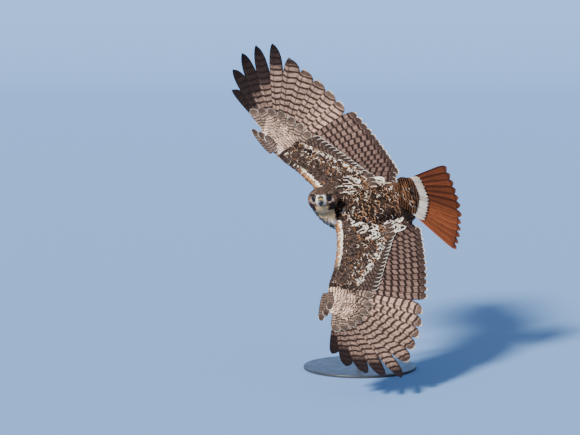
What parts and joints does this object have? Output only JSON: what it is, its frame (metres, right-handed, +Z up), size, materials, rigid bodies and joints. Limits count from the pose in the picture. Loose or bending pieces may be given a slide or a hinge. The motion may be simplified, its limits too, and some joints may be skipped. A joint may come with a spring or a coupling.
{
  "type": "red-tailed hawk in flight",
  "caption": "Life-size still hawk in a banked turn with spread wings and fanned red tail, held on a rod over a flat round base.",
  "frame": {"origin": "centre of the base's underside, on the floor", "axes": "+Z up; +Y away from the camera of the picture; +X to its right. The bird flies toward -X, banked with its back toward -Y."},
  "size_m": [0.6985, 0.8215, 0.9581],
  "materials": {
    "brown_feather": "matte feather, dark brown with pale flecks",
    "barred_feather": "matte feather, brown with darker bars",
    "red_feather": "matte feather, rust red",
    "pale_feather": "matte feather, buff",
    "eye": "wet, glossy, dark brown",
    "cere": "waxy yellow skin",
    "leg": "scaled yellow skin",
    "horn": "polished dark horn",
    "stand": "satin black"
  },
  "bodies": {
    "root": {"torso": "brown_feather", "head": "brown_feather", "neck": "brown_feather", "wing_left_arm": "barred_feather", "wing_left_hand": "barred_feather", "wing_left_alula": "barred_feather", "wing_right_arm": "barred_feather", "wing_right_hand": "barred_feather", "wing_right_alula": "barred_feather", "tail": "red_feather", "thigh_left": "pale_feather", "thigh_right": "pale_feather", "eye_left": "eye", "eye_right": "eye", "cere": "cere", "shank_left": "leg", "shank_right": "leg", "foot_left": "leg", "foot_right": "leg", "bill_upper": "horn", "bill_lower": "horn", "talon_left_1": "horn", "talon_left_2": "horn", "talon_left_3": "horn", "talon_left_4": "horn", "talon_right_1": "horn", "talon_right_2": "horn", "talon_right_3": "horn", "talon_right_4": "horn", "stand_base": "stand", "stand_rod": "stand"}
  },
  "joints": []
}
